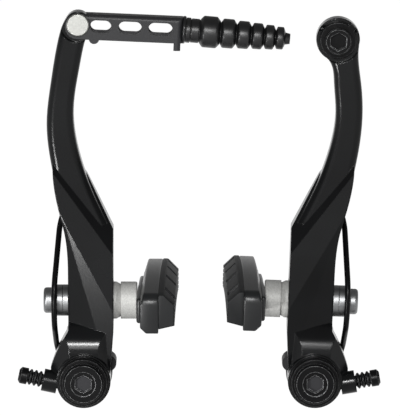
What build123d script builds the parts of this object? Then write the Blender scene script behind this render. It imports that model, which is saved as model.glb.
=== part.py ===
from build123d import *
import os
from math import cos, degrees, hypot, radians, sin

# A pair of cantilever rim-brake arms with a cable link, in millimetres.
# X runs from the left arm to the right arm, Y from the rider's view to the frame, Z up.
# The origin lies midway between the two pivot axes, in the plane of the shoe studs.
# Every piece of an arm is drawn for the left arm, with its pivot at the origin and X toward the rim.

# Whole brake
pivot_spacing = 72.0
right_lean = 2.3

# Pivot, front to rear along Y
base_y = 12.0
boss_rear_y = 4.6
boss_front_y = -9.6
boss_r = 8.45
bushing_r = 5.5
bolt_hole_r = 3.2
post_socket_r = 4.1
post_socket_depth = 14.0
axial_play = 0.15
running_clearance = 0.04
match_tolerance = 0.01
ring_r = 7.9
ring_thickness = 2.4
ring_edge = 0.6
bolt_flange_r = 6.45
bolt_flange_thickness = 2.0
bolt_dome = 0.7
bolt_thread_r = 2.9
bolt_tip_room = 1.8
hex_key = 5.0
hex_turn = 30.0
socket_depth = 1.9
socket_rim_r = 3.87
socket_rim_depth = 0.35

# Spring holder and return spring
holder_r = 8.75
holder_floor = 1.3
holder_wall = 0.7
holder_lobe_d = 7.4
holder_lobe_z = 2.8
holder_lobe_r = 2.6
holder_gate = 5.6
stop_pin_r = 1.9
stop_pin_length = 4.0
wire_r = 0.9
coil_r = 7.0
coil_turns = 2
coil_pitch = 1.9
coil_room = 0.15
leg_start = 3.0
leg_rise = (-8.65, 8.4)
leg_rise_y = 5.5
leg_bow_low_d = -9.05
leg_bow_low_y = -6.6
leg_bow_low_drop = 6.35
leg_bow_high_d = -9.15
leg_bow_high_y = -7.2
leg_bow_high_rise = 4.55
leg_tuck = (-7.5, 47.5)
leg_tuck_room = 0.5
leg_end = (-3.8, 57.0)
leg_end_room = 0.3
leg_bends = (8.0, 7.0, 8.0, 14.0, 10.0)
lug_r = 1.3
lug_gap = 0.4
lug_rise = 1.4

# Arm, seen from the front
bar_front_y = -4.5
bar_edge = 2.2
bar_outer_points = ((-11.25, 80.5), (-9.5, 65.1), (-5.6, 45.0))
bar_inner_points = ((-2.9, 83.5), (-1.6, 72.6), (0.5, 65.1))
bar_foot_inset = 1.7
bar_foot_rise = 1.9
body_front_y = -8.6
front_lean = 0.05
front_lean_z = 8.0
body_rear_y = 6.5
body_rear_edge = 1.2
arm_inner_d = 9.3
arm_outer_d = -4.8
ear_d = -10.3
ear_top_z = 3.4
ear_flank_point = (-7.2, 11.2)
ear_corner = 1.4
ear_bottom_z = -4.8
ear_rear_y = 1.0
ear_notch_z = 15.5
ear_notch_d = -5.4
holder_room_r = 10.9
crease_top = (-5.6, 49.0)
band_crease_end = (7.07, 25.6)
flank_crease_end = (4.4, 14.2)
band_slope = 0.22
flank_slope = 0.36
valley_outer = (-9.6, 65.6)
valley_inner = (9.0, 39.8)
valley_slope = 1.0
valley_reach = 7.6
upper_end_outer = 8.6
upper_end_inner = -8.0
flank_points = ((-9.4, 65.1), (-7.5, 53.0))
seat_above = 9.5
seat_below = 8.6
boss_outer_angle = 218.8
boss_inner_angle = 11.5
boss_under_share = 0.6
inner_side_z = 15.0
rear_taper_z = 46.0
rear_taper_slope = 0.1
cove_step = 0.6
cove_foot_rise = 0.15
cove_top_z = 17.5
cove_back_y = -4.0
cove_r = 10.4
cove_side_d = 4.5
cove_side_slope = 0.9
corner_z = 46.9

# Arm heads
link_pin_d = -1.46
link_pin_z = 111.1
link_head_r = 4.0
link_crown = (140.0, -40.0)
link_neck_outer = ((-6.2, 110.7), (-7.8, 105.3), (-9.95, 92.7))
link_neck_inner = ((0.6, 105.3), (-0.95, 97.8))
tongue_thickness = 4.6
shoulder_r = 5.5
anchor_d = -2.62
anchor_z = 106.5
anchor_head_r = 6.75
anchor_crown = (180.0, -55.0)
anchor_neck_outer = ((-9.1, 102.8), (-10.45, 92.7))
anchor_neck_inner = ((0.1, 100.1), (-1.2, 97.8), (-2.0, 92.7))
anchor_face_y = -2.9
anchor_face_r = 7.0

# Shoe stack along the stud
stud_z = 23.95
stud_r = 3.0
slot_width = 7.7
shoe_travel = 3.0
washer_hole_r = 3.85
inner_washer_r = 5.8
inner_washer_rim = 2.2
inner_washer_land = 0.9
inner_washer_slant = 1.7
inner_washer_slant_drop = 0.9
inner_spacer_end_d = 16.7
outer_washer_r = 4.9
outer_washer_rim = 1.7
outer_spacer_end_d = -8.6
flat_washer_thickness = 1.4
nut_r = 4.0
nut_thickness = 2.5
nut_key = 5.0
nut_key_depth = 1.5
nut_round = 0.95
seat_clearance = 0.06
stud_clearance = 0.06
washer_edge = 0.35

# Brake pad
pad_length = 70.0
pad_rise = 3.3
rim_r = 290.0
ridge_length = 44.0
ridge_height = 7.4
ridge_corner = 1.0
ridge_end_d = 18.65
backing_end_d = 24.0
backing_height = 9.8
backing_shoulder = 1.0
backing_shoulder_drop = 2.2
backing_low_edge = 1.8
ridge_gap = 0.2
pad_face_d = 28.95
pad_chamfer = 3.3
pad_heel = 1.2
pad_end_round = 3.4
groove_count = 4
groove_pitch = 16.5
groove_width = 3.2
groove_depth = 1.5
groove_chamfer_share = 0.4
plate_length = 34.0
plate_rise = 2.6
plate_height = 6.0
plate_thickness = 1.6

# Tension screw
screw_tilt = 12.0
screw_root_d = -8.2
screw_root_z = -1.55
screw_end_gap = 0.2
screw_collar_r = 3.5
screw_collar_end = 4.7
screw_shank_r = 1.7
screw_thread_r = 2.5
screw_thread_pitch = 1.5
screw_thread_count = 3
screw_flank_share = 0.36
screw_head_r = 2.6
screw_head_length = 3.0
screw_head_round = 0.9
screw_head_round_length = 0.7
screw_slot = 0.8
screw_cross = 3.9

# Cable link
link_tilt = -2.5
link_length = 32.4
link_sheet = 1.0
link_gap = 5.0
link_top = 3.35
link_bottom = 4.55
link_bend_r = 1.4
link_nose_r = 1.6
link_web_start = 4.5
link_slot_shares = ((0.117, 0.32), (0.389, 0.611), (0.674, 0.904))
link_slot_height = 3.8
link_slot_drop = 0.3
stop_tab_u = 5.2
stop_tab_r = 1.6
stop_tab_drop = 1.25
end_tab_width = 2.1
end_tab_inset = 0.5
end_tab_drop = 2.3
nose_hole_r = 1.7
pin_r = 2.2
pin_head_r = 3.5
pin_head_thickness = 1.3
pin_head_edge = 0.3
pin_tail_r = 3.0
pin_tail_thickness = 0.9

# Boot
boot_tilt = -5.0
boot_flush = 0.4
boot_bore_r = 1.3
boot_neck_radii = (4.3, 3.9, 3.75)
boot_neck_lengths = (0.95, 1.55, 2.7)
boot_neck_valley = 0.35
boot_neck_round = 0.2
boot_rib_radii = (4.9, 4.55, 4.3, 4.05, 3.8, 3.5)
boot_rib_lengths = (6.4, 4.95, 4.6, 4.05, 3.5, 3.0)
boot_valley = 1.25
boot_valley_flat = 0.1
boot_rib_rise_share = 0.18
boot_rib_fall_share = 0.83
boot_tip_r = 1.9
boot_tip_length = 1.6
boot_tip_taper = 0.3

# Cable anchor
anchor_washer_r = 5.8
anchor_washer_thickness = 1.7
anchor_tab_width = 2.2
anchor_tab_reach = 6.6
anchor_tab_angle = 45.0
anchor_bolt_r = 2.5
anchor_bolt_head_r = 4.1
anchor_bolt_head_length = 3.2
cable_r = 0.85
anchor_bolt_tail = 2.2


def slab(sketch, front_y, rear_y):
    """A flat shape in X and Z, thickened between two Y planes."""
    return extrude(Plane.XZ.offset(-rear_y) * sketch, amount=rear_y - front_y)


def on_circle(d, z, r, angle):
    """The point on a circle at an angle from the inward side, in degrees."""
    return (d + r * cos(radians(angle)), z + r * sin(radians(angle)))


def disc(d, z, r, front_y, rear_y):
    """A cylinder along Y."""
    return slab(Pos(d, z) * Circle(r), front_y, rear_y)


def barrel(start_d, end_d, r):
    """A cylinder along the shoe stud."""
    low = min(start_d, end_d)
    return extrude(Plane.YZ.offset(low) * Pos(0, stud_z) * Circle(r), amount=abs(end_d - start_d))


def beyond(origin, along, across, side):
    """A large block on one side of the plane that holds two directions: -1 is the front, 1 the rear."""
    normal = Vector(*along).cross(Vector(*across)).normalized()
    if normal.Y * side < 0:
        normal = normal * -1
    size = 4 * pivot_spacing
    block = Box(size, size, size, align=(Align.CENTER, Align.CENTER, Align.MIN))
    return Plane(origin=origin, z_dir=normal) * block


def turned(profile_points, axis_plane):
    """A ring turned from (distance along, radius) points about the plane's normal through its origin."""
    outline = Polyline(*[(radius, along) for along, radius in profile_points], close=True)
    ring = revolve(Plane.XZ * make_face(outline), Axis.Z)
    return axis_plane * ring


def hex_socket(width, depth, d, z, front_y):
    """The hole for a hexagon key, width across its flats."""
    outline = RegularPolygon(width / 2, 6, major_radius=False, rotation=hex_turn)
    return slab(Pos(d, z) * outline, front_y, front_y + depth)


ring_front_y = boss_front_y - axial_play - ring_thickness
bolt_front_y = ring_front_y - bolt_flange_thickness
holder_front_y = boss_rear_y + axial_play
ball_d = (arm_inner_d + arm_outer_d) / 2
ball = (ball_d, 0, stud_z)


def pivot_bushing():
    """The sleeve that the arm turns on: a socket for the post behind, a hole for the bolt in front."""
    front_y = boss_front_y - axial_play
    sleeve = disc(0, 0, bushing_r, front_y, base_y)
    bolt_hole = disc(0, 0, bolt_hole_r, front_y, base_y)
    socket = disc(0, 0, post_socket_r, base_y - post_socket_depth, base_y)
    return sleeve - bolt_hole - socket


def front_ring():
    ring = disc(0, 0, ring_r, ring_front_y, boss_front_y - axial_play)
    ring = chamfer(ring.edges().filter_by(GeomType.CIRCLE).sort_by(Axis.Y)[0], ring_edge)
    return ring - disc(0, 0, bolt_thread_r + running_clearance, ring_front_y, boss_front_y)


def fixing_bolt():
    flange = disc(0, 0, bolt_flange_r, bolt_front_y, ring_front_y)
    flange = chamfer(flange.edges().sort_by(Axis.Y)[0], bolt_dome)
    shank = disc(0, 0, bolt_thread_r, ring_front_y, base_y - post_socket_depth - bolt_tip_room)
    rim = disc(0, 0, socket_rim_r, bolt_front_y, bolt_front_y + socket_rim_depth)
    return flange + shank - rim - hex_socket(hex_key, socket_depth, 0, 0, bolt_front_y)


def spring_holder():
    cup = disc(0, 0, holder_r, holder_front_y, base_y)
    lobe = disc(holder_lobe_d, holder_lobe_z, holder_lobe_r, holder_front_y, base_y)
    cavity = disc(0, 0, holder_r - holder_wall, holder_front_y, base_y - holder_floor)
    hole = disc(0, 0, bushing_r + running_clearance, holder_front_y, base_y)
    gate = Pos(-holder_r, (holder_front_y + base_y - holder_floor) / 2, holder_r / 2)
    gate = gate * Box(holder_r, base_y - holder_floor - holder_front_y, holder_r + holder_gate)
    stop_pin = disc(holder_lobe_d, holder_lobe_z, stop_pin_r, base_y, base_y + stop_pin_length)
    return cup + lobe - cavity - hole - gate + stop_pin


def return_spring():
    """The coil round the bushing and the leg that bows round the shoe nut, in one wire."""
    top_y = holder_front_y + wire_r + coil_room
    helix = Helix(pitch=coil_pitch, height=coil_pitch * coil_turns, radius=coil_r, lefthand=True)
    helix = Plane(origin=(0, top_y, 0), x_dir=(-1, 0, 0), z_dir=(0, 1, 0)) * helix
    start = helix @ 0
    leg = FilletPolyline(
        start,
        start - (helix % 0) * leg_start,
        (leg_rise[0], leg_rise_y, leg_rise[1]),
        (leg_bow_low_d, leg_bow_low_y, stud_z - leg_bow_low_drop),
        (leg_bow_high_d, leg_bow_high_y, stud_z + leg_bow_high_rise),
        (leg_tuck[0], body_rear_y + leg_tuck_room, leg_tuck[1]),
        (leg_end[0], body_rear_y + wire_r + leg_end_room, leg_end[1]),
        radius=leg_bends,
    )
    section = Plane(origin=leg @ 1, z_dir=leg % 1) * Circle(wire_r)
    return sweep(section, path=Wire(leg.edges() + helix.edges()), is_frenet=False)


def bar(head_d, head_z, head_r, crown_angles, neck_outer, neck_inner):
    """The upper bar between its outer and inner edges, from the round head down into the lower body."""
    top_outer = on_circle(head_d, head_z, head_r, crown_angles[0])
    top_inner = on_circle(head_d, head_z, head_r, crown_angles[1])
    foot_inner = (arm_inner_d - bar_foot_inset, corner_z + bar_foot_rise)
    outer = Spline(top_outer, *neck_outer, *bar_outer_points)
    inner = Spline(top_inner, *neck_inner, *bar_inner_points, foot_inner)
    crown = ThreePointArc(top_inner, (head_d, head_z + head_r), top_outer)
    foot = Line(outer @ 1, inner @ 1)
    solid = slab(make_face(outer + foot + inner + crown), bar_front_y, -bar_front_y)
    rims = solid.edges().filter_by(lambda edge: abs(abs(edge.center().Y) + bar_front_y) < match_tolerance)
    return fillet(rims.filter_by(lambda edge: edge.center().Z > corner_z), bar_edge)


def valley_offset(point, along, across):
    """A point moved along and across the valley line, both in millimetres."""
    run_d = valley_outer[0] - valley_inner[0]
    run_z = valley_outer[1] - valley_inner[1]
    run = hypot(run_d, run_z)
    shift_d = along * run_d + across * run_z
    shift_z = along * run_z - across * run_d
    return (point[0] + shift_d / run, point[1] + shift_z / run)


def lower_outline():
    """The lower body: outer flank, ear, boss foot, straight inner face and the slanted upper end."""
    end_outer = valley_offset(valley_outer, upper_end_outer, valley_reach)
    end_inner = valley_offset(valley_outer, upper_end_inner, valley_reach)
    flank_start = (flank_points[0][0] - end_outer[0], flank_points[0][1] - end_outer[1])
    seat_top = (arm_outer_d, stud_z + seat_above)
    upper_flank = Spline(end_outer, *flank_points, seat_top, tangents=(flank_start, (0, -1)))
    seat = Line(upper_flank @ 1, (arm_outer_d, stud_z - seat_below))
    ear_flank = Spline(seat @ 1, ear_flank_point, (ear_d, ear_top_z))
    ear_end = Line(ear_flank @ 1, (ear_d, ear_bottom_z + ear_corner))
    ear_foot = Line(ear_end @ 1, on_circle(0, 0, boss_r, boss_outer_angle))
    under = Line(ear_foot @ 1, (boss_r * boss_under_share, 0))
    inner_foot = Line(under @ 1, on_circle(0, 0, boss_r, boss_inner_angle))
    inner_side = Line(inner_foot @ 1, (arm_inner_d, inner_side_z))
    inner_face = Line(inner_side @ 1, (arm_inner_d, corner_z))
    inner_rise = Line(inner_face @ 1, end_inner)
    slant = Line(inner_rise @ 1, end_outer)
    edges = upper_flank + seat + ear_flank + ear_end + ear_foot + under
    return make_face(edges + inner_foot + inner_side + inner_face + inner_rise + slant)


def crease_plane(start, end, start_y, end_y, slope):
    """The front side of a facet that falls back from a crease toward the outer, lower side."""
    along = (end[0] - start[0], end_y - start_y, end[1] - start[1])
    run = hypot(along[0], along[2])
    across = (along[2] / run, slope, -along[0] / run)
    return beyond((start[0], start_y, start[1]), along, across, -1)


def front_y(z):
    """The body's front plane, which leans back with the height."""
    return body_front_y + front_lean * (z - front_lean_z)


def band_y(point):
    """Where the band facet lies at a point."""
    run_d = band_crease_end[0] - crease_top[0]
    run_z = band_crease_end[1] - crease_top[1]
    reach_d = point[0] - crease_top[0]
    reach_z = point[1] - crease_top[1]
    run = hypot(run_d, run_z)
    along = (reach_d * run_d + reach_z * run_z) / run
    across = (run_z * reach_d - run_d * reach_z) / run
    return front_y(crease_top[1]) + front_lean * run_z / run * along + band_slope * across


def lower_body():
    outline = lower_outline()
    solid = slab(outline, body_front_y, body_rear_y)
    rear_rims = solid.edges().filter_by(lambda edge: abs(edge.center().Y - body_rear_y) < match_tolerance)
    solid = chamfer(rear_rims, body_rear_edge)
    solid -= beyond((0, body_front_y, front_lean_z), (1, 0, 0), (0, front_lean, 1), -1)
    crease_y = front_y(crease_top[1])
    solid -= crease_plane(crease_top, band_crease_end, crease_y, front_y(band_crease_end[1]), band_slope)
    solid -= crease_plane(crease_top, flank_crease_end, crease_y, band_y(flank_crease_end), flank_slope)
    valley_outer_y = front_y(valley_outer[1])
    solid -= crease_plane(valley_outer, valley_inner, valley_outer_y, front_y(valley_inner[1]), -valley_slope)
    taper = (0, -rear_taper_slope, 1)
    solid -= beyond((0, body_rear_y, rear_taper_z), (1, 0, 0), taper, 1)
    notch_depth = body_rear_y - ear_rear_y
    notch = Box(2 * boss_r, notch_depth, 4 * boss_r, align=(Align.MAX, Align.MIN, Align.MAX))
    solid -= Pos(ear_notch_d, ear_rear_y, ear_notch_z) * notch
    return solid + (cove() & slab(outline, boss_front_y, body_rear_y))


def cove():
    """The hollow neck that sweeps forward from the facets to the boss, with a bevel on each side."""
    foot_y = boss_front_y + cove_step
    foot_z = boss_r + cove_foot_rise
    hollow = RadiusArc((foot_y, foot_z), (cove_back_y, cove_top_z), cove_r)
    sides = Polyline((cove_back_y, cove_top_z), (0, cove_top_z), (0, 0), (foot_y, 0), (foot_y, foot_z))
    neck = extrude(Plane.YZ.offset(ear_d) * make_face(hollow + sides), amount=arm_inner_d - ear_d)
    for side in (-1, 1):
        neck -= beyond((side * cove_side_d, foot_y, 0), (0, 0, 1), (side, cove_side_slope, 0), -1)
    return neck


def screw_plane():
    """The plane whose normal runs outward along the tension screw."""
    tilt = radians(screw_tilt)
    outward = (-cos(tilt), 0, sin(tilt))
    start = (screw_root_d, (body_front_y + ear_rear_y) / 2, screw_root_z)
    return Plane(origin=start, x_dir=(0, 1, 0), z_dir=outward)


def arm_common():
    """What both arms share below their heads."""
    solid = lower_body() + disc(0, 0, boss_r, boss_front_y, boss_rear_y)
    collar = extrude(screw_plane() * Circle(screw_collar_r), amount=screw_collar_end)
    lug_d = leg_end[0] - wire_r - lug_gap - lug_r
    lug_end_y = body_rear_y + 2 * wire_r + leg_end_room
    lug = disc(lug_d, leg_end[1] + lug_rise, lug_r, 0, lug_end_y)
    return solid + collar + lug


def arm_cuts():
    bore = disc(0, 0, bushing_r + running_clearance, boss_front_y, body_rear_y + boss_r)
    rear_room = disc(0, 0, holder_room_r, boss_rear_y, body_rear_y + boss_r)
    slot_shape = Rot(0, 0, 90) * SlotOverall(slot_width + 2 * shoe_travel, slot_width)
    span = arm_inner_d - ear_d
    slot = extrude(Plane.YZ.offset(ear_d) * Pos(0, stud_z) * slot_shape, amount=span)
    screw_hole = extrude(screw_plane() * Circle(screw_shank_r + running_clearance), amount=screw_collar_end)
    return bore + rear_room + slot + screw_hole


def left_arm():
    upper = bar(link_pin_d, link_pin_z, link_head_r, link_crown, link_neck_outer, link_neck_inner)
    solid = upper + arm_common() - arm_cuts()
    half = tongue_thickness / 2
    front_step = disc(link_pin_d, link_pin_z, shoulder_r, bar_front_y, -half)
    rear_step = disc(link_pin_d, link_pin_z, shoulder_r, half, -bar_front_y)
    pin_hole = disc(link_pin_d, link_pin_z, pin_r, -half, half)
    return solid - front_step - rear_step - pin_hole


def right_arm():
    upper = bar(anchor_d, anchor_z, anchor_head_r, anchor_crown, anchor_neck_outer, anchor_neck_inner)
    solid = upper + arm_common() - arm_cuts()
    face = disc(anchor_d, anchor_z, anchor_face_r, bar_front_y, anchor_face_y)
    hole = disc(anchor_d, anchor_z, anchor_bolt_r, anchor_face_y, -bar_front_y)
    return solid - face - hole - cable_groove()


def cable_groove():
    """The half-round bed for the cable, above the anchor bolt."""
    bed_z = anchor_z + anchor_bolt_r + cable_r
    reach = 2 * anchor_face_r
    bed = Plane.YZ.offset(anchor_d - reach / 2) * Pos(anchor_face_y, bed_z) * Circle(cable_r)
    return extrude(bed, amount=reach)


def inner_convex_washer():
    """A flat-backed washer whose slanted rim leads to the ball face."""
    seat_r = hypot(arm_inner_d + inner_washer_rim - ball_d, inner_washer_r)
    reach = ball_d + seat_r - arm_inner_d
    slant_r = inner_washer_r - inner_washer_slant_drop
    profile = (
        (0, washer_hole_r),
        (0, inner_washer_r),
        (inner_washer_land, inner_washer_r),
        (inner_washer_land + inner_washer_slant, slant_r),
        (reach, slant_r),
        (reach, washer_hole_r),
    )
    ring = turned(profile, Plane(origin=(arm_inner_d, 0, stud_z), z_dir=(1, 0, 0)))
    return ring & Pos(*ball) * Sphere(seat_r)


def inner_spacer():
    seat_r = hypot(arm_inner_d + inner_washer_rim - ball_d, inner_washer_r) + seat_clearance
    blank = barrel(arm_inner_d, inner_spacer_end_d, inner_washer_r)
    blank = chamfer(blank.edges().filter_by(GeomType.CIRCLE).sort_by(Axis.X)[-1], washer_edge)
    hole = barrel(arm_inner_d, inner_spacer_end_d, stud_r + stud_clearance)
    return blank - Pos(*ball) * Sphere(seat_r) - hole


def outer_convex_washer():
    seat_r = hypot(ball_d - arm_outer_d + outer_washer_rim, outer_washer_r)
    blank = barrel(arm_outer_d, ball_d - seat_r, outer_washer_r)
    return (blank & Pos(*ball) * Sphere(seat_r)) - barrel(arm_outer_d, ball_d - seat_r, washer_hole_r)


def outer_spacer():
    seat_r = hypot(ball_d - arm_outer_d + outer_washer_rim, outer_washer_r) + seat_clearance
    blank = barrel(arm_outer_d, outer_spacer_end_d, outer_washer_r)
    hole = barrel(arm_outer_d, outer_spacer_end_d, stud_r + stud_clearance)
    return blank - Pos(*ball) * Sphere(seat_r) - hole


def flat_washer():
    end_d = outer_spacer_end_d - flat_washer_thickness
    blank = barrel(outer_spacer_end_d, end_d, outer_washer_r)
    blank = chamfer(blank.edges().filter_by(GeomType.CIRCLE), washer_edge)
    return blank - barrel(outer_spacer_end_d, end_d, stud_r)


def shoe_nut():
    start_d = outer_spacer_end_d - flat_washer_thickness
    end_d = start_d - nut_thickness
    blank = barrel(start_d, end_d, nut_r)
    blank = fillet(blank.edges().filter_by(GeomType.CIRCLE).sort_by(Axis.X)[0], nut_round)
    key = Plane.YZ.offset(end_d) * Pos(0, stud_z) * RegularPolygon(nut_key / 2, 6, major_radius=False)
    return blank - barrel(start_d, end_d + nut_key_depth, stud_r) - extrude(key, amount=nut_key_depth)


def pad_stud():
    nut_end_d = outer_spacer_end_d - flat_washer_thickness - nut_thickness
    shank = barrel(nut_end_d + nut_key_depth, ridge_end_d, stud_r)
    plate = Box(plate_thickness, plate_length, plate_height)
    return shank + Pos(ridge_end_d + plate_thickness / 2, 0, stud_z + plate_rise) * plate


def pad_section():
    """The pad end-on: backing block, friction block with the top chamfer and a small heel."""
    top = stud_z + pad_rise + backing_height / 2
    low = stud_z + pad_rise - backing_height / 2
    points = (
        (ridge_end_d, top - backing_shoulder_drop),
        (ridge_end_d + backing_shoulder, top),
        (pad_face_d - pad_chamfer, top),
        (pad_face_d, top - pad_chamfer),
        (pad_face_d, low + 2 * pad_heel),
        (backing_end_d, low + pad_heel),
        (backing_end_d, low),
        (ridge_end_d + backing_low_edge, low),
        (ridge_end_d, low + backing_low_edge),
    )
    return make_face(Polyline(*points, close=True))


def along_rim(section, length):
    """A section swung about the wheel's axle, half the length to each side."""
    arc = degrees(length / rim_r)
    axle = Axis((0, 0, stud_z - rim_r), (1, 0, 0))
    swung = revolve(Plane.XZ * section, axle, revolution_arc=arc)
    return swung.rotate(axle, -arc / 2)


def pad():
    solid = along_rim(pad_section(), pad_length)
    end_tops = solid.edges().filter_by(Axis.X).filter_by(lambda edge: edge.center().Z > stud_z)
    solid = fillet(end_tops, pad_end_round)
    ridge_start_d = inner_spacer_end_d + ridge_gap
    ridge_face = Rectangle(ridge_end_d - ridge_start_d, ridge_height)
    ridge_face = fillet(ridge_face.vertices().sort_by(Axis.X)[:2], ridge_corner)
    solid += along_rim(Pos((ridge_start_d + ridge_end_d) / 2, stud_z) * ridge_face, ridge_length)
    top = stud_z + pad_rise + backing_height / 2
    chamfer_drop = groove_chamfer_share * groove_depth
    cutter = Polyline(
        (pad_face_d - pad_chamfer - groove_depth, top + groove_depth),
        (pad_face_d - pad_chamfer - groove_depth, top - chamfer_drop),
        (pad_face_d - groove_depth, top - pad_chamfer - chamfer_drop),
        (pad_face_d - groove_depth, stud_z - backing_height),
        (pad_face_d + groove_depth, stud_z - backing_height),
        (pad_face_d + groove_depth, top + groove_depth),
        close=True,
    )
    for number in range(groove_count):
        middle_y = (number - (groove_count - 1) / 2) * groove_pitch
        solid -= slab(make_face(cutter), middle_y - groove_width / 2, middle_y + groove_width / 2)
    return solid - pad_stud()


def tension_screw():
    """Head, thread crests and shank, turned about the screw's axis."""
    profile = [(screw_end_gap, 0), (screw_end_gap, screw_shank_r), (screw_collar_end, screw_shank_r)]
    thread_start = screw_collar_end + screw_end_gap
    flank = screw_flank_share * screw_thread_pitch
    for number in range(screw_thread_count):
        root = thread_start + number * screw_thread_pitch
        profile += [(root, screw_shank_r), (root + flank, screw_thread_r)]
        profile += [(root + screw_thread_pitch - flank, screw_thread_r)]
    head = thread_start + screw_thread_count * screw_thread_pitch
    tip = head + screw_head_length
    profile += [(head, screw_shank_r), (head + screw_end_gap, screw_head_r)]
    profile += [(tip - screw_head_round_length, screw_head_r)]
    profile += [(tip, screw_head_r - screw_head_round), (tip, 0)]
    screw = turned(profile, screw_plane())
    slot = Pos(0, 0, tip - screw_slot / 2) * Box(screw_slot, 2 * screw_head_r, screw_slot)
    cross = Pos(0, 0, tip - screw_slot / 2) * Box(screw_cross, screw_slot, screw_slot)
    return screw - screw_plane() * slot - screw_plane() * cross


def link_frame():
    """Moves a piece drawn along the link, with its pin at the origin, to the rest place."""
    return Pos(link_pin_d, 0, link_pin_z) * Rot(0, -link_tilt, 0)


def cable_link():
    """One folded sheet: two side plates with their tabs, the top fold and the nose wall."""
    outer_half = link_gap / 2 + link_sheet
    height = link_top + link_bottom
    middle = (link_top - link_bottom) / 2
    plate = Pos(link_length / 2, middle) * Rectangle(link_length, height)
    plate += Pos(0, middle) * Circle(height / 2)
    plate += Pos(stop_tab_u, stop_tab_r - link_bottom - stop_tab_drop) * Circle(stop_tab_r)
    end_tab = Rectangle(end_tab_width, end_tab_drop, align=(Align.MAX, Align.MAX))
    plate += Pos(link_length - end_tab_inset, -link_bottom) * end_tab
    folded = Rectangle(2 * outer_half, 2 * height)
    folded = fillet(folded.vertices().sort_by(Axis.Y)[-2:], link_bend_r)
    folded = Plane.YZ.offset(-height) * Pos(0, link_top - height) * folded
    nose = Rectangle(link_length + height, 2 * outer_half, align=(Align.MAX, Align.CENTER))
    nose = fillet(nose.vertices().sort_by(Axis.X)[-2:], link_nose_r)
    nose = Plane.XY.offset(-2 * height) * Pos(link_length, 0) * nose
    block = slab(plate, -outer_half, outer_half)
    block = block & extrude(folded, amount=link_length + 2 * height) & extrude(nose, amount=4 * height)
    hollow = Polyline(
        (-height, height),
        (link_web_start, height),
        (link_web_start, link_top - link_sheet),
        (link_length - link_sheet, link_top - link_sheet),
        (link_length - link_sheet, -2 * height),
        (-height, -2 * height),
        close=True,
    )
    block -= slab(make_face(hollow), -link_gap / 2, link_gap / 2)
    for start, end in link_slot_shares:
        slot = SlotOverall((end - start) * link_length, link_slot_height)
        shape = Pos((start + end) / 2 * link_length, -link_slot_drop) * slot
        block -= slab(shape, -outer_half, outer_half)
    nose_hole = Plane.YZ.offset(link_length - link_sheet) * Pos(0, middle) * Circle(nose_hole_r)
    pin_hole = disc(0, 0, pin_r + running_clearance, -outer_half, outer_half)
    return link_frame() * (block - extrude(nose_hole, amount=link_sheet) - pin_hole)


def link_pin():
    outer_half = link_gap / 2 + link_sheet + axial_play / 2
    head = disc(0, 0, pin_head_r, -outer_half - pin_head_thickness, -outer_half)
    head = chamfer(head.edges().filter_by(GeomType.CIRCLE).sort_by(Axis.Y)[0], pin_head_edge)
    shank = disc(0, 0, pin_r, -outer_half, outer_half)
    tail = disc(0, 0, pin_tail_r, outer_half, outer_half + pin_tail_thickness)
    return Pos(link_pin_d, 0, link_pin_z) * (head + shank + tail)


def boot_profile():
    """(distance along, radius) from the neck to the tip."""
    along = -boot_flush
    points = [(along, boot_bore_r)]
    for radius, length in zip(boot_neck_radii, boot_neck_lengths):
        points += [(along, radius - boot_neck_valley), (max(along, 0) + boot_neck_round, radius)]
        along = max(along, 0) + length
        points += [(along - boot_neck_round, radius), (along, radius - boot_neck_valley)]
    for radius, length in zip(boot_rib_radii, boot_rib_lengths):
        points += [(along + boot_valley_flat, radius - boot_valley)]
        points += [(along + boot_rib_rise_share * length, radius)]
        points += [(along + boot_rib_fall_share * length, radius), (along + length, radius - boot_valley)]
        along += length
    points += [(along + boot_valley_flat, boot_tip_r)]
    points += [(along + boot_tip_length, boot_tip_r - boot_tip_taper)]
    points += [(along + boot_tip_length, boot_bore_r)]
    return points


def boot():
    """The bellows, with its neck cut flush with the link's nose."""
    slope = radians(boot_tilt - link_tilt)
    start = (link_length, 0, (link_top - link_bottom) / 2)
    along = Plane(origin=start, x_dir=(0, 1, 0), z_dir=(cos(slope), 0, sin(slope)))
    nose = Box(link_length, link_length, link_length, align=(Align.MAX, Align.CENTER, Align.CENTER))
    return link_frame() * (turned(boot_profile(), along) - Pos(link_length, 0, 0) * nose)


def anchor_washer():
    rear_y = anchor_face_y
    front_y = rear_y - anchor_washer_thickness
    ring = disc(anchor_d, anchor_z, anchor_washer_r, front_y, rear_y)
    ring = chamfer(ring.edges().filter_by(GeomType.CIRCLE).sort_by(Axis.Y)[0], washer_edge)
    tab_align = (Align.MAX, Align.CENTER, Align.CENTER)
    tab = Box(anchor_tab_reach, anchor_washer_thickness, anchor_tab_width, align=tab_align)
    tab = Pos(anchor_d, (front_y + rear_y) / 2, anchor_z) * Rot(0, anchor_tab_angle, 0) * tab
    hole = disc(anchor_d, anchor_z, anchor_bolt_r, front_y, rear_y)
    return ring + tab - hole - cable_groove()


def anchor_bolt():
    seat_y = anchor_face_y - anchor_washer_thickness
    head_y = seat_y - anchor_bolt_head_length
    head = disc(anchor_d, anchor_z, anchor_bolt_head_r, head_y, seat_y)
    head = chamfer(head.edges().filter_by(GeomType.CIRCLE).sort_by(Axis.Y)[0], washer_edge)
    shank = disc(anchor_d, anchor_z, anchor_bolt_r, seat_y, -bar_front_y + anchor_bolt_tail)
    return head + shank - hex_socket(hex_key, socket_depth, anchor_d, anchor_z, head_y)


def place_left(piece):
    return Pos(-pivot_spacing / 2, 0, 0) * piece


def place_right(piece, lean):
    return Pos(pivot_spacing / 2, 0, 0) * Rot(0, lean, 0) * mirror(piece, Plane.YZ)


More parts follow.
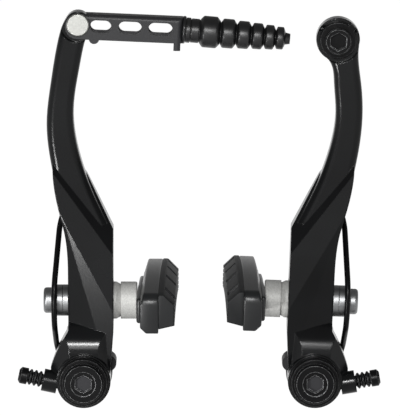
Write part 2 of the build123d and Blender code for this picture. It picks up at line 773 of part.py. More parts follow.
fixed_pieces = {
    "pivot_bushing": pivot_bushing(),
    "front_ring": front_ring(),
    "fixing_bolt": fixing_bolt(),
    "spring_holder": spring_holder(),
}
swinging_pieces = {
    "return_spring": return_spring(),
    "tension_screw": tension_screw(),
    "inner_convex_washer": inner_convex_washer(),
    "inner_spacer": inner_spacer(),
    "outer_convex_washer": outer_convex_washer(),
    "outer_spacer": outer_spacer(),
    "flat_washer": flat_washer(),
    "shoe_nut": shoe_nut(),
    "pad_stud": pad_stud(),
    "pad": pad(),
}
nodes = {
    "left_arm": place_left(left_arm()),
    "right_arm": place_right(right_arm(), right_lean),
    "cable_link": place_left(cable_link()),
    "link_pin": place_left(link_pin()),
    "boot": place_left(boot()),
    "anchor_washer": place_right(anchor_washer(), right_lean),
    "anchor_bolt": place_right(anchor_bolt(), right_lean),
}
for name, piece in fixed_pieces.items():
    nodes["left_" + name] = place_left(piece)
    nodes["right_" + name] = place_right(piece, 0)
for name, piece in swinging_pieces.items():
    nodes["left_" + name] = place_left(piece)
    nodes["right_" + name] = place_right(piece, right_lean)

os.makedirs("parts", exist_ok=True)
for name, piece in nodes.items():
    export_step(piece, f"parts/{name}.step")
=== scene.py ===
from math import cos, pi, radians, sin

import bmesh
import bpy
from mathutils import Matrix, Vector


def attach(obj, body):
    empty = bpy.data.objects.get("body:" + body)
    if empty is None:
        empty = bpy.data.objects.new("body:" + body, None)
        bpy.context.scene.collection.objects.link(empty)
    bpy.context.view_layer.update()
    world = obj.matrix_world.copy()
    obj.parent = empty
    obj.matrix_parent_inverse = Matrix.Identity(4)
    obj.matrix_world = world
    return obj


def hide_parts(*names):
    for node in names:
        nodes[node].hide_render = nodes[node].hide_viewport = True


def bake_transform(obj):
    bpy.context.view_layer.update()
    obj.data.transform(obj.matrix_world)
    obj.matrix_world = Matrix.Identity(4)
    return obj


MM = 0.001
TOLERANCE = 0.001 * MM
SIDES = ("left", "right")
PIVOT_X = 36.0

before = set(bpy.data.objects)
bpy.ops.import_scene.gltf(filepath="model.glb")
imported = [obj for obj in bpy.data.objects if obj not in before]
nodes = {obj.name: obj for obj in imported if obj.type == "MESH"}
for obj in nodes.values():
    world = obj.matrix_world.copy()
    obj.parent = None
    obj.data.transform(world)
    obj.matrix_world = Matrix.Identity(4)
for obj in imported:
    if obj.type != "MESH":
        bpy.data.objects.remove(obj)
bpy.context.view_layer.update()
scene = bpy.context.scene
scene.view_settings.view_transform = "Standard"


# Camera: a long lens from the front, a little above, framed as the photograph.
VIEW_ELEVATION = radians(10.0)
VIEW_DISTANCE = 1.5
VIEW_TARGET = Vector((0.25 * MM, -5.0 * MM, 54.0 * MM))
FRAME_HEIGHT_PX = 416
MM_PER_PX = 0.31
SENSOR_MM = 36.0
CLIP_NEAR = 0.05
CLIP_FAR = 20.0


def front_camera():
    data = bpy.data.cameras.new("front_camera")
    data.sensor_width = SENSOR_MM
    data.lens = SENSOR_MM * VIEW_DISTANCE / (FRAME_HEIGHT_PX * MM_PER_PX * MM)
    data.clip_start = CLIP_NEAR
    data.clip_end = CLIP_FAR
    camera = bpy.data.objects.new("front_camera", data)
    scene.collection.objects.link(camera)
    away = Vector((0.0, -cos(VIEW_ELEVATION), sin(VIEW_ELEVATION)))
    camera.location = VIEW_TARGET + away * VIEW_DISTANCE
    camera.rotation_euler = (-away).to_track_quat("-Z", "Y").to_euler()
    scene.camera = camera


def linear(hex_colour):
    """An sRGB hex colour as linear RGBA."""
    channels = [int(hex_colour[i : i + 2], 16) / 255 for i in (1, 3, 5)]
    return [c / 12.92 if c <= 0.04045 else ((c + 0.055) / 1.055) ** 2.4 for c in channels] + [1.0]


def add(tree, kind, inputs=None, **settings):
    """A shader node: settings are its options, inputs its values or the sockets that feed them."""
    made = tree.nodes.new("ShaderNode" + kind)
    for option, value in settings.items():
        setattr(made, option, value)
    for socket, value in (inputs or {}).items():
        if isinstance(value, bpy.types.NodeSocket):
            tree.links.new(value, made.inputs[socket])
        else:
            made.inputs[socket].default_value = value
    return made


# Finishes
EDGE_SAMPLES = 6


def per_metre(feature_mm):
    """A pattern's scale on Object coordinates, from the size of one feature."""
    return 1.0 / (feature_mm * MM)


def blank_finish(name):
    """A material with an empty tree, and the Object coordinates that its patterns lie on."""
    finish = bpy.data.materials.new(name)
    finish.use_nodes = True
    tree = finish.node_tree
    tree.nodes.clear()
    return finish, tree, add(tree, "TexCoord").outputs["Object"]


def fine_skin(tree, height, strength, depth_mm, edge_mm):
    """The normal of a skin with a fine relief, softened along the edges of its piece."""
    soft_edge = add(tree, "Bevel", {"Radius": edge_mm * MM}, samples=EDGE_SAMPLES)
    relief = add(tree, "Bump", {
        "Strength": strength, "Distance": depth_mm * MM,
        "Height": height, "Normal": soft_edge.outputs["Normal"],
    })
    return relief.outputs["Normal"]


def anodised_forging():
    """Forged aluminium, shot-blasted, then anodised black: an even satin sheen with a fine tooth."""
    finish, tree, place = blank_finish("anodised_forging")
    blast_grit = add(tree, "TexNoise", {"Vector": place, "Scale": per_metre(0.35), "Detail": 3.0})
    cloud = add(tree, "TexNoise", {"Vector": place, "Scale": per_metre(14.0), "Detail": 2.0})
    dye = add(tree, "ValToRGB", {"Fac": cloud.outputs["Fac"]})
    dark, light = dye.color_ramp.elements
    dark.position = 0.3
    dark.color = linear("#0A0A0B")
    light.position = 0.75
    light.color = linear("#0F1011")
    sheen = add(tree, "MapRange", {"Value": blast_grit.outputs["Fac"], "To Min": 0.15, "To Max": 0.22})
    shader = add(tree, "BsdfPrincipled", {
        "Base Color": dye.outputs["Color"], "Roughness": sheen.outputs["Result"], "IOR": 1.27,
        "Normal": fine_skin(tree, blast_grit.outputs["Fac"], strength=0.08, depth_mm=0.02, edge_mm=0.5),
    })
    add(tree, "OutputMaterial", {"Surface": shader.outputs["BSDF"]})
    return finish


KEY_HOLE_R = 2.95
KEY_HOLE_Y = -13.7
LEAST_WEAR_AND_HIGHLIGHT_SHARE = 0.2


def blackened_steel(name, edge_mm, roughness, wear_and_highlight):
    """Turned, blackened steel: dark, a little glossy, with pale rims that are partly bare wear and
    partly a painted highlight, and paler in the key's hole.
    """
    finish, tree, place = blank_finish(name)
    wear_and_highlight_noise = add(tree, "TexNoise", {"Vector": place, "Scale": per_metre(0.9), "Detail": 4.0})
    # The softened normal leaves the face's own normal only near a rim.
    soft_edge = add(tree, "Bevel", {"Radius": edge_mm * MM}, samples=EDGE_SAMPLES)
    flat = add(tree, "NewGeometry").outputs["Normal"]
    turn = add(tree, "VectorMath", {0: soft_edge.outputs["Normal"], 1: flat}, operation="DOT_PRODUCT")
    rim = add(tree, "MapRange", {"Value": turn.outputs["Value"], "From Min": 0.99, "From Max": 0.86})
    patchy = add(tree, "MapRange", {
        "Value": wear_and_highlight_noise.outputs["Fac"], "From Min": 0.35, "From Max": 0.7,
        "To Min": LEAST_WEAR_AND_HIGHLIGHT_SHARE * wear_and_highlight, "To Max": wear_and_highlight,
    })
    # Painted highlight: the pale rims are partly bare wear and partly light painted along every edge.
    worn_and_highlit = add(tree, "Math", {
        0: rim.outputs["Result"], 1: patchy.outputs["Result"],
    }, operation="MULTIPLY")
    # Both pivot axes lie PIVOT_X from the middle, so one fold over the middle serves the two bolts.
    folded = add(tree, "VectorMath", {0: place}, operation="ABSOLUTE")
    from_axis = add(tree, "VectorMath", {
        0: folded.outputs["Vector"], 1: (PIVOT_X * MM, 0.0, 0.0),
    }, operation="SUBTRACT")
    across = add(tree, "VectorMath", {
        0: from_axis.outputs["Vector"], 1: (1.0, 0.0, 1.0),
    }, operation="MULTIPLY")
    radius = add(tree, "VectorMath", {0: across.outputs["Vector"]}, operation="LENGTH")
    near_axis = add(tree, "Math", {
        0: radius.outputs["Value"], 1: KEY_HOLE_R * MM,
    }, operation="LESS_THAN")
    depth = add(tree, "SeparateXYZ", {"Vector": place})
    deep = add(tree, "Math", {0: depth.outputs["Y"], 1: KEY_HOLE_Y * MM}, operation="GREATER_THAN")
    hole = add(tree, "Math", {
        0: near_axis.outputs["Value"], 1: deep.outputs["Value"],
    }, operation="MULTIPLY")
    skin = add(tree, "Mix", {
        "Factor": hole.outputs["Value"], "A": linear("#0A0A0B"), "B": linear("#343436"),
    }, data_type="RGBA")
    # The pale rim colour is partly wear and partly a painted edge highlight.
    colour = add(tree, "Mix", {
        "Factor": worn_and_highlit.outputs["Value"], "A": skin.outputs["Result"], "B": linear("#CFD0D1"),
    }, data_type="RGBA")
    shine = add(tree, "MapRange", {
        "Value": wear_and_highlight_noise.outputs["Fac"], "To Min": roughness[0], "To Max": roughness[1],
    })
    shader = add(tree, "BsdfPrincipled", {
        "Base Color": colour.outputs["Result"], "Roughness": shine.outputs["Result"],
        "IOR": 1.2, "Normal": soft_edge.outputs["Normal"],
    })
    add(tree, "OutputMaterial", {"Surface": shader.outputs["BSDF"]})
    return finish


def shot_blasted_alloy():
    """Cast zinc alloy, shot-blasted bright: pale grey with a sparkle of tiny pits."""
    finish, tree, place = blank_finish("shot_blasted_alloy")
    # Real pits are about 0.1 mm; they are drawn at 0.3 mm, the smallest that shows in the render.
    pits = add(tree, "TexNoise", {
        "Vector": place, "Scale": per_metre(0.3), "Detail": 4.0, "Roughness": 0.7,
    })
    tone = add(tree, "ValToRGB", {"Fac": pits.outputs["Fac"]})
    dark, light = tone.color_ramp.elements
    dark.position = 0.32
    dark.color = linear("#9A9A97")
    light.position = 0.66
    light.color = linear("#CBCBC8")
    shader = add(tree, "BsdfPrincipled", {
        "Base Color": tone.outputs["Color"], "Roughness": 0.6, "Metallic": 0.25,
        "Normal": fine_skin(tree, pits.outputs["Fac"], strength=0.45, depth_mm=0.06, edge_mm=0.3),
    })
    add(tree, "OutputMaterial", {"Surface": shader.outputs["BSDF"]})
    return finish


def plated_steel(name, light_hex, dark_hex, roughness):
    """Turned steel, zinc plated: bright metal with a fine grain that breaks up the shine."""
    finish, tree, place = blank_finish(name)
    # The grain of the turning is about 0.05 mm; it is drawn at 0.4 mm so that it shows.
    grain = add(tree, "TexNoise", {"Vector": place, "Scale": per_metre(0.4), "Detail": 3.0})
    tone = add(tree, "Mix", {
        "Factor": grain.outputs["Fac"], "A": linear(dark_hex), "B": linear(light_hex),
    }, data_type="RGBA")
    shine = add(tree, "MapRange", {
        "Value": grain.outputs["Fac"], "To Min": roughness[0], "To Max": roughness[1],
    })
    shader = add(tree, "BsdfPrincipled", {
        "Base Color": tone.outputs["Result"], "Roughness": shine.outputs["Result"], "Metallic": 1.0,
        "Normal": fine_skin(tree, grain.outputs["Fac"], strength=0.08, depth_mm=0.02, edge_mm=0.25),
    })
    add(tree, "OutputMaterial", {"Surface": shader.outputs["BSDF"]})
    return finish


BLOOM_LIFT = 1.5


def moulded_rubber(name, colour_hex, roughness, ior):
    """Compression-moulded black rubber: dull, with a broad highlight and the mould's fine stipple."""
    finish, tree, place = blank_finish(name)
    stipple = add(tree, "TexNoise", {"Vector": place, "Scale": per_metre(0.4), "Detail": 3.0})
    bloom = add(tree, "TexNoise", {"Vector": place, "Scale": per_metre(6.0), "Detail": 3.0})
    pale = [channel * BLOOM_LIFT for channel in linear(colour_hex)[:3]] + [1.0]
    tone = add(tree, "Mix", {
        "Factor": bloom.outputs["Fac"], "A": linear(colour_hex), "B": pale,
    }, data_type="RGBA")
    dullness = add(tree, "MapRange", {
        "Value": stipple.outputs["Fac"], "To Min": roughness[0], "To Max": roughness[1],
    })
    shader = add(tree, "BsdfPrincipled", {
        "Base Color": tone.outputs["Result"], "Roughness": dullness.outputs["Result"], "IOR": ior,
        "Normal": fine_skin(tree, stipple.outputs["Fac"], strength=0.25, depth_mm=0.03, edge_mm=0.5),
    })
    add(tree, "OutputMaterial", {"Surface": shader.outputs["BSDF"]})
    return finish


def painted_sheet():
    """Pressed sheet steel, powder coated dark grey: a low sheen with a fine even texture."""
    finish, tree, place = blank_finish("painted_sheet")
    # Powder texture is about 0.15 mm; it is drawn at 0.45 mm so that it shows.
    peel = add(tree, "TexNoise", {"Vector": place, "Scale": per_metre(0.45), "Detail": 3.0})
    tone = add(tree, "Mix", {
        "Factor": peel.outputs["Fac"], "A": linear("#1A1A1C"), "B": linear("#2B2B2D"),
    }, data_type="RGBA")
    shader = add(tree, "BsdfPrincipled", {
        "Base Color": tone.outputs["Result"], "Roughness": 0.42, "IOR": 1.36,
        "Normal": fine_skin(tree, peel.outputs["Fac"], strength=0.25, depth_mm=0.03, edge_mm=0.25),
    })
    add(tree, "OutputMaterial", {"Surface": shader.outputs["BSDF"]})
    return finish


def moulded_nylon():
    """Injection-moulded black nylon: semi-matt with a fine spark-eroded grain."""
    finish, tree, place = blank_finish("moulded_nylon")
    grain = add(tree, "TexNoise", {"Vector": place, "Scale": per_metre(0.4), "Detail": 2.0})
    tone = add(tree, "Mix", {
        "Factor": grain.outputs["Fac"], "A": linear("#0F0F10"), "B": linear("#18181A"),
    }, data_type="RGBA")
    shader = add(tree, "BsdfPrincipled", {
        "Base Color": tone.outputs["Result"], "Roughness": 0.48, "IOR": 1.36,
        "Normal": fine_skin(tree, grain.outputs["Fac"], strength=0.2, depth_mm=0.02, edge_mm=0.3),
    })
    add(tree, "OutputMaterial", {"Surface": shader.outputs["BSDF"]})
    return finish


# Pieces: lengths are in millimetres until they are multiplied by MM.
SHARP_ANGLE = radians(40.0)


def new_piece(name, bm, finish):
    """An object from a built mesh, shaded smooth up to its sharp edges."""
    mesh = bpy.data.meshes.new(name)
    bm.to_mesh(mesh)
    bm.free()
    mesh.shade_smooth()
    mesh.set_sharp_from_angle(angle=SHARP_ANGLE)
    mesh.materials.append(finish)
    piece = bpy.data.objects.new(name, mesh)
    scene.collection.objects.link(piece)
    return piece


def round_edges(bm, edges, radius, segments):
    bmesh.ops.bevel(
        bm, geom=edges, offset=radius * MM, affect="EDGES", segments=segments, profile=0.5,
        material=-1, clamp_overlap=True,
    )


LINK_PIN = Vector((-37.46, 0.0, 111.1))
LINK_TILT = radians(2.5)
LINK_LENGTH = 32.4
LINK_MIDDLE = -0.6
BOOT_TILT = radians(5.0)
BOOT_BORE_R = 1.3
BOOT_FLUSH = 0.4
# Each neck ring and rib is a radius and a length, and each step of the tip a place and a radius.
BOOT_NECK = ((4.3, 0.95), (3.9, 1.55), (3.75, 2.7))
BOOT_NECK_VALLEY = 0.35
BOOT_NECK_ROUND = 0.2
BOOT_RIBS = ((4.9, 6.4), (4.55, 4.95), (4.3, 4.6), (4.05, 4.05), (3.8, 3.5), (3.5, 3.0))
BOOT_VALLEY = 1.25
BOOT_VALLEY_FLAT = 0.1
BOOT_RISE_SHARE = 0.18
BOOT_FALL_SHARE = 0.83
BOOT_TIP = ((BOOT_VALLEY_FLAT, 1.9), (1.6, 1.6))
BOOT_RIB_ROUND = 0.45
BOOT_RIB_SEGMENTS = 4
BOOT_STEPS = 64
CUT_TOLERANCE = 0.0001 * MM


def downhill(tilt):
    """The direction that runs to the right and falls by a tilt."""
    return Vector((cos(tilt), 0.0, -sin(tilt)))


def boot_outline():
    """The boot's half section as (along, radius), from the neck to the tip."""
    points = [(-BOOT_FLUSH, BOOT_BORE_R)]
    along = 0.0
    for radius, length in BOOT_NECK:
        foot = -BOOT_FLUSH if along == 0.0 else along
        points += [(foot, radius - BOOT_NECK_VALLEY), (along + BOOT_NECK_ROUND, radius)]
        along += length
        points += [(along - BOOT_NECK_ROUND, radius), (along, radius - BOOT_NECK_VALLEY)]
    for radius, length in BOOT_RIBS:
        points += [
            (along + BOOT_VALLEY_FLAT, radius - BOOT_VALLEY),
            (along + BOOT_RISE_SHARE * length, radius),
            (along + BOOT_FALL_SHARE * length, radius),
            (along + length, radius - BOOT_VALLEY),
        ]
        along += length
    points += [(along + step, radius) for step, radius in BOOT_TIP]
    tip_end, _ = BOOT_TIP[-1]
    return points + [(along + tip_end, BOOT_BORE_R)]


def rib_crests(bm):
    """The rings of edges at a crest's radius, with those of the first neck ring, as wide as a rib."""
    crest_radii = [radius * MM for radius, _ in BOOT_RIBS]
    crests = []
    for edge in bm.edges:
        first, second = (vert.co for vert in edge.verts)
        level = abs(first.z - second.z) < TOLERANCE
        if level and any(abs(first.xy.length - radius) < TOLERANCE for radius in crest_radii):
            crests.append(edge)
    return crests


def bellows_boot(finish):
    """The rubber boot, spun from its half section, with round crests and a neck flush with the link."""
    bm = bmesh.new()
    chain = [bm.verts.new((0.0, radius * MM, along * MM)) for along, radius in boot_outline()]
    for first, second in zip(chain, chain[1:] + chain[:1]):
        bm.edges.new((first, second))
    bmesh.ops.spin(
        bm, geom=bm.verts[:] + bm.edges[:], cent=(0, 0, 0), axis=(0, 0, 1),
        angle=2 * pi, steps=BOOT_STEPS, use_merge=True,
    )
    bmesh.ops.remove_doubles(bm, verts=bm.verts, dist=TOLERANCE)
    bmesh.ops.recalc_face_normals(bm, faces=bm.faces)
    round_edges(bm, rib_crests(bm), BOOT_RIB_ROUND, BOOT_RIB_SEGMENTS)
    nose_way = downhill(LINK_TILT)
    nose_up = Vector((-nose_way.z, 0.0, nose_way.x))
    nose = LINK_PIN * MM + nose_way * LINK_LENGTH * MM + nose_up * LINK_MIDDLE * MM
    turn = downhill(BOOT_TILT).to_track_quat("Z", "Y").to_matrix().to_4x4()
    bmesh.ops.transform(bm, verts=bm.verts, matrix=Matrix.Translation(nose) @ turn)
    cut = bmesh.ops.bisect_plane(
        bm, geom=bm.verts[:] + bm.edges[:] + bm.faces[:], dist=CUT_TOLERANCE,
        plane_co=nose, plane_no=nose_way, clear_inner=True,
    )
    rim = [part for part in cut["geom_cut"] if isinstance(part, bmesh.types.BMEdge)]
    bmesh.ops.bridge_loops(bm, edges=rim)
    bmesh.ops.recalc_face_normals(bm, faces=bm.faces)
    piece = new_piece("bellows_boot", bm, finish)
    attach(piece, "link")
    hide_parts("boot")


# The pad's sections are (d, z): d inward from the pivot, z up from the stud.
RIGHT_LEAN = radians(2.3)
STUD_Z = 23.95
WHEEL_R = 290.0
PAD_LENGTH = 70.0
PAD_TOP = 9.7
PAD_LOW = -2.5
PAD_BACK_D = 18.4
PAD_SHOULDER_IN = 1.1
PAD_SHOULDER_DROP = 3.5
PAD_LOW_EDGE = 1.8
PAD_JOIN_D = 24.0
PAD_END_ROUND = 3.2
PAD_END_SEGMENTS = 8
PAD_END_FACING = 0.9
PAD_EDGE_ROUND = 0.35
PAD_EDGE_SEGMENTS = 3
PAD_EDGE_ANGLE = radians(24.0)
PAD_PITCH = radians(-1.5)
PAD_TOE = radians(-0.8)
PAD_STEPS = 20
RIDGE_LENGTH = 44.0
RIDGE_ROUND = 0.8
RIDGE_SEGMENTS = 4
RIDGE_D = (16.95, 18.6)
RIDGE_Z = (-2.9, 5.0)
FRICTION_LENGTH = 69.2
FRICTION_FACE_D = 28.95
FRICTION_CHAMFER = 3.3
FRICTION_HEEL = 1.2
FRICTION_TEETH = 5
TOOTH_DEPTH = 0.4
TOOTH_GAP_SHARE = 0.4
SLIT_STEPS = (2, 7, 12, 17)
SLIT_FACING = 0.6
SLIT_WALL = 0.6
SLIT_DEPTH = 1.4


def swung_block(section, length):
    """A solid block: a closed (d, z) section swung about the wheel's axle over a length."""
    bm = bmesh.new()
    axle = (0.0, 0.0, -WHEEL_R * MM)
    arc = length / WHEEL_R
    chain = [bm.verts.new((d * MM, 0.0, z * MM)) for d, z in section]
    loop = [bm.edges.new(pair) for pair in zip(chain, chain[1:] + chain[:1])]
    bmesh.ops.rotate(bm, verts=chain, cent=axle, matrix=Matrix.Rotation(arc / 2, 3, "X"))
    bmesh.ops.spin(bm, geom=chain + loop, cent=axle, axis=(-1, 0, 0), angle=arc, steps=PAD_STEPS)
    bmesh.ops.edgeloop_fill(bm, edges=[edge for edge in bm.edges if edge.is_boundary])
    bmesh.ops.recalc_face_normals(bm, faces=bm.faces)
    return bm


def sharp_edges(bm):
    return [edge for edge in bm.edges if edge.calc_face_angle() > PAD_EDGE_ANGLE]


def is_level_top(edge):
    first, second = (vert.co for vert in edge.verts)
    return abs(first.z - second.z) < TOLERANCE and min(first.z, second.z) > 0.5 * PAD_TOP * MM


def pad_backing():
    """The backing block, with its ends rounded over at the top."""
    block = swung_block((
        (PAD_BACK_D, PAD_TOP - PAD_SHOULDER_DROP), (PAD_BACK_D + PAD_SHOULDER_IN, PAD_TOP),
        (PAD_JOIN_D, PAD_TOP), (PAD_JOIN_D, PAD_LOW),
        (PAD_BACK_D + PAD_LOW_EDGE, PAD_LOW), (PAD_BACK_D, PAD_LOW + PAD_LOW_EDGE),
    ), PAD_LENGTH)
    ends = [face for face in block.faces if abs(face.normal.y) > PAD_END_FACING]
    end_tops = [edge for face in ends for edge in face.edges if is_level_top(edge)]
    round_edges(block, end_tops, PAD_END_ROUND, PAD_END_SEGMENTS)
    round_edges(block, sharp_edges(block), PAD_EDGE_ROUND, PAD_EDGE_SEGMENTS)
    return block


def pad_ridge():
    """The ridge on the backing's rear that bears on the spacer."""
    back, front = RIDGE_D
    low, top = RIDGE_Z
    ridge = swung_block(((back, low), (front, low), (front, top), (back, top)), RIDGE_LENGTH)
    round_edges(ridge, sharp_edges(ridge), RIDGE_ROUND, RIDGE_SEGMENTS)
    return ridge


def pad_friction():
    """The friction block: a chamfer with slits across it, and a face with teeth along it."""
    teeth_top = PAD_TOP - FRICTION_CHAMFER
    tooth = (teeth_top - PAD_LOW - 2 * FRICTION_HEEL) / FRICTION_TEETH
    section = [
        (PAD_JOIN_D, PAD_LOW + FRICTION_HEEL), (PAD_JOIN_D, PAD_TOP),
        (FRICTION_FACE_D - FRICTION_CHAMFER, PAD_TOP), (FRICTION_FACE_D, teeth_top),
    ]
    for number in range(FRICTION_TEETH):
        low = teeth_top - (number + 1) * tooth
        section += [
            (FRICTION_FACE_D, low + TOOTH_GAP_SHARE * tooth),
            (FRICTION_FACE_D - TOOTH_DEPTH, low + TOOTH_GAP_SHARE * tooth / 2),
            (FRICTION_FACE_D, low),
        ]
    block = swung_block(section, FRICTION_LENGTH)
    behind_teeth = (FRICTION_FACE_D - TOOTH_DEPTH) * MM - TOLERANCE
    rims = [edge for edge in sharp_edges(block) if min(vert.co.x for vert in edge.verts) < behind_teeth]
    round_edges(block, rims, PAD_EDGE_ROUND, PAD_EDGE_SEGMENTS)
    step_arc = FRICTION_LENGTH / WHEEL_R / PAD_STEPS
    slits = []
    for face in block.faces:
        middle = face.calc_center_median()
        turn = middle.y / (middle.z + WHEEL_R * MM)
        step = int(turn / step_arc + PAD_STEPS / 2)
        if face.normal.x > SLIT_FACING and face.normal.z > SLIT_FACING and step in SLIT_STEPS:
            slits.append(face)
    bmesh.ops.inset_individual(block, faces=slits, thickness=SLIT_WALL * MM, depth=-SLIT_DEPTH * MM)
    for face in block.faces:
        face.material_index = 1
    return block


def moulded_pad(side, finish, friction):
    """The brake pad, set a little toe-in and nose-up as its seats let it rest."""
    whole = bmesh.new()
    for block in (pad_backing(), pad_ridge(), pad_friction()):
        mesh = bpy.data.meshes.new("pad_block")
        block.to_mesh(mesh)
        block.free()
        whole.from_mesh(mesh)
        bpy.data.meshes.remove(mesh)
    set_on_stud = Matrix.Rotation(PAD_TOE, 4, "Z") @ Matrix.Rotation(PAD_PITCH, 4, "X")
    place = Matrix.Translation((0.0, 0.0, STUD_Z * MM)) @ set_on_stud
    if side == "left":
        place = Matrix.Translation((-PIVOT_X * MM, 0.0, 0.0)) @ place
    else:
        lean = Matrix.Translation((PIVOT_X * MM, 0.0, 0.0)) @ Matrix.Rotation(RIGHT_LEAN, 4, "Y")
        place = lean @ Matrix.Scale(-1, 4, (1, 0, 0)) @ place
    bmesh.ops.transform(whole, verts=whole.verts, matrix=place)
    bmesh.ops.recalc_face_normals(whole, faces=whole.faces)
    piece = new_piece(f"{side}_moulded_pad", whole, finish)
    piece.data.materials.append(friction)
    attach(piece, f"{side}_shoe")
    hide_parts(f"{side}_pad")


def spring_wire(side, finish):
    """The return spring, copied from the part's wire, merged and shaded smooth."""
    bm = bmesh.new()
    bm.from_mesh(nodes[f"{side}_return_spring"].data)
    bmesh.ops.remove_doubles(bm, verts=bm.verts, dist=TOLERANCE)
    piece = new_piece(f"{side}_spring_wire", bm, finish)
    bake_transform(piece)
    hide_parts(f"{side}_return_spring")


# Stage: lengths are in metres.
SOFT_LIGHT = 0.25
BACKDROP_TOP = 0.05
BACKDROP_FADED = 0.12


def seen_or_mirrored(tree):
    """1 for rays from the camera, or mirrored or let through on their way to it, otherwise 0."""
    path = add(tree, "LightPath")
    mirrored = add(tree, "Math", {
        0: path.outputs["Is Glossy Ray"], 1: path.outputs["Is Transmission Ray"],
    }, operation="MAXIMUM")
    either = add(tree, "Math", {
        0: path.outputs["Is Camera Ray"], 1: mirrored.outputs["Value"],
    }, operation="MAXIMUM")
    return either.outputs["Value"]


def white_backdrop():
    """White up to just above the horizon for what is seen or mirrored; otherwise a plain soft light."""
    world = bpy.data.worlds.new("studio")
    scene.world = world
    world.use_nodes = True
    tree = world.node_tree
    tree.nodes.clear()
    way = add(tree, "SeparateXYZ", {"Vector": add(tree, "TexCoord").outputs["Generated"]})
    low = add(tree, "MapRange", {
        "Value": way.outputs["Z"], "From Min": BACKDROP_FADED, "From Max": BACKDROP_TOP,
    })
    white = add(tree, "Math", {
        0: low.outputs["Result"], 1: seen_or_mirrored(tree),
    }, operation="MULTIPLY")
    lit = add(tree, "Background", {"Color": linear("#FFFFFF"), "Strength": SOFT_LIGHT})
    plain = add(tree, "Background", {"Color": linear("#FFFFFF"), "Strength": 1.0})
    both = add(tree, "MixShader", {
        0: white.outputs["Value"], 1: lit.outputs["Background"], 2: plain.outputs["Background"],
    })
    add(tree, "OutputWorld", {"Surface": both.outputs["Shader"]})


FLOOR_Z = -0.1
FLOOR_HALF = 3.0
FLOOR_DIM_PLACE = (0.0, -0.42, FLOOR_Z)
FLOOR_DIM_REACH = 0.6
FLOOR_LEAST_GLOW = 0.32
FLOOR_MOST_GLOW = 0.93


def pale_floor():
    """Matt paper that glows white, least in front of the brake, where dark faces mirror it."""
    finish, tree, place = blank_finish("white_paper")
    reach = add(tree, "VectorMath", {0: place, 1: FLOOR_DIM_PLACE}, operation="DISTANCE")
    glow = add(tree, "MapRange", {
        "Value": reach.outputs["Value"], "From Min": 0.0, "From Max": FLOOR_DIM_REACH,
        "To Min": FLOOR_LEAST_GLOW, "To Max": FLOOR_MOST_GLOW,
    })
    seen_glow = add(tree, "Math", {
        0: glow.outputs["Result"], 1: seen_or_mirrored(tree),
    }, operation="MULTIPLY")
    matt = add(tree, "BsdfDiffuse", {"Color": linear("#8C8C8C")})
    white = add(tree, "Emission", {"Color": linear("#FFFFFF"), "Strength": seen_glow.outputs["Value"]})
    both = add(tree, "AddShader", {0: matt.outputs["BSDF"], 1: white.outputs["Emission"]})
    add(tree, "OutputMaterial", {"Surface": both.outputs["Shader"]})
    bm = bmesh.new()
    bmesh.ops.create_grid(bm, x_segments=1, y_segments=1, size=FLOOR_HALF)
    bmesh.ops.translate(bm, verts=bm.verts, vec=(0.0, 0.0, FLOOR_Z))
    mesh = bpy.data.meshes.new("pale_floor")
    bm.to_mesh(mesh)
    bm.free()
    mesh.materials.append(finish)
    floor = bpy.data.objects.new("pale_floor", mesh)
    scene.collection.objects.link(floor)


def soft_lamp(name, place, power, width, height):
    """A rectangular lamp that faces the brake, its power in watts."""
    data = bpy.data.lights.new(name, "AREA")
    data.shape = "RECTANGLE"
    data.size = width
    data.size_y = height
    data.energy = power
    lamp = bpy.data.objects.new(name, data)
    scene.collection.objects.link(lamp)
    lamp.location = place
    lamp.rotation_euler = (VIEW_TARGET - Vector(place)).to_track_quat("-Z", "Y").to_euler()


front_camera()
white_backdrop()
pale_floor()
soft_lamp("key_box", place=(-0.1, -2.0, 0.86), power=24.0, width=0.25, height=0.2)
soft_lamp("key_skirt", place=(-0.1, -2.0, 0.47), power=6.0, width=0.36, height=0.42)
soft_lamp("low_card", place=(-0.175, -0.30, -0.024), power=0.65, width=0.055, height=0.04)

forging = anodised_forging()
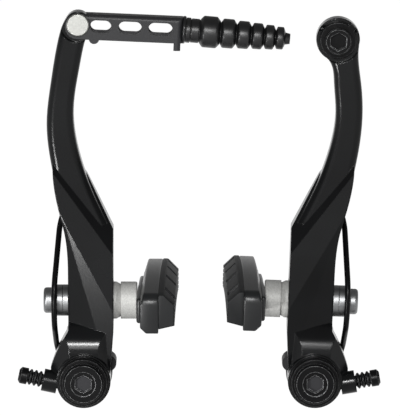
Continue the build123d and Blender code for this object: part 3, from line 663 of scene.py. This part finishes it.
# The last argument sets how strongly the rims are painted pale, as wear and as painted highlight.
bolt_finish = blackened_steel("blackened_bolt", edge_mm=0.26, roughness=(0.26, 0.4), wear_and_highlight=0.9)
ring_finish = blackened_steel("blackened_ring", edge_mm=0.3, roughness=(0.24, 0.38), wear_and_highlight=0.25)
wire_finish = blackened_steel("blackened_wire", edge_mm=0.05, roughness=(0.18, 0.32), wear_and_highlight=0.3)
alloy = shot_blasted_alloy()
bright_steel = plated_steel("plated_washer", "#929394", "#707172", roughness=(0.33, 0.47))
pin_finish = plated_steel("plated_rivet", "#B2B2AE", "#8C8D8A", roughness=(0.29, 0.43))
bushing_finish = plated_steel("ground_bushing", "#9C9DA0", "#6D6E72", roughness=(0.23, 0.37))
pad_finish = moulded_rubber("pad_rubber", "#101112", roughness=(0.25, 0.41), ior=1.45)
friction_finish = moulded_rubber("friction_compound", "#101112", roughness=(0.46, 0.62), ior=1.32)
boot_finish = moulded_rubber("boot_rubber", "#0B0B0C", roughness=(0.29, 0.45), ior=1.47)
sheet_finish = painted_sheet()
nylon = moulded_nylon()

finish_of = {
    "left_arm": forging, "right_arm": forging, "cable_link": sheet_finish, "link_pin": pin_finish,
    "anchor_washer": ring_finish, "anchor_bolt": bolt_finish,
}
for side in SIDES:
    finish_of.update({
        f"{side}_pivot_bushing": bushing_finish,
        f"{side}_front_ring": ring_finish,
        f"{side}_fixing_bolt": bolt_finish,
        f"{side}_spring_holder": nylon,
        f"{side}_tension_screw": ring_finish,
        f"{side}_inner_convex_washer": alloy,
        f"{side}_inner_spacer": alloy,
        f"{side}_outer_convex_washer": bright_steel,
        f"{side}_outer_spacer": bright_steel,
        f"{side}_flat_washer": bright_steel,
        f"{side}_shoe_nut": bright_steel,
        f"{side}_pad_stud": bright_steel,
    })
for name, finish in finish_of.items():
    materials = nodes[name].data.materials
    materials.clear()
    materials.append(finish)

bellows_boot(boot_finish)
for side in SIDES:
    spring_wire(side, wire_finish)
    moulded_pad(side, pad_finish, friction_finish)
